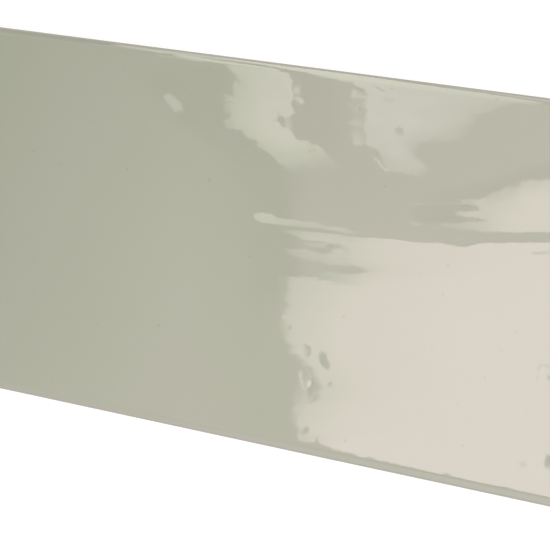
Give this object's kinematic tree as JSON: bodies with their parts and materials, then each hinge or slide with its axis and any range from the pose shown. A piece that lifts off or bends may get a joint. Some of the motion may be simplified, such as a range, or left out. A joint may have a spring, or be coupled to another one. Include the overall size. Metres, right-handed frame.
{
  "type": "ceramic wall tile",
  "caption": "Plank-format glazed ceramic wall tile with a gently uneven glossy face, rounded glazed edges and a keyed back for tile adhesive.",
  "frame": {"origin": "middle of the keyed back, which the tile lies on", "axes": "+X along the tile, +Y across its width, +Z out of the glazed face"},
  "size_m": [0.3, 0.075, 0.0088],
  "materials": {
    "glaze": "gloss"
  },
  "bodies": {
    "root": {"wall_tile": "glaze"}
  },
  "joints": []
}
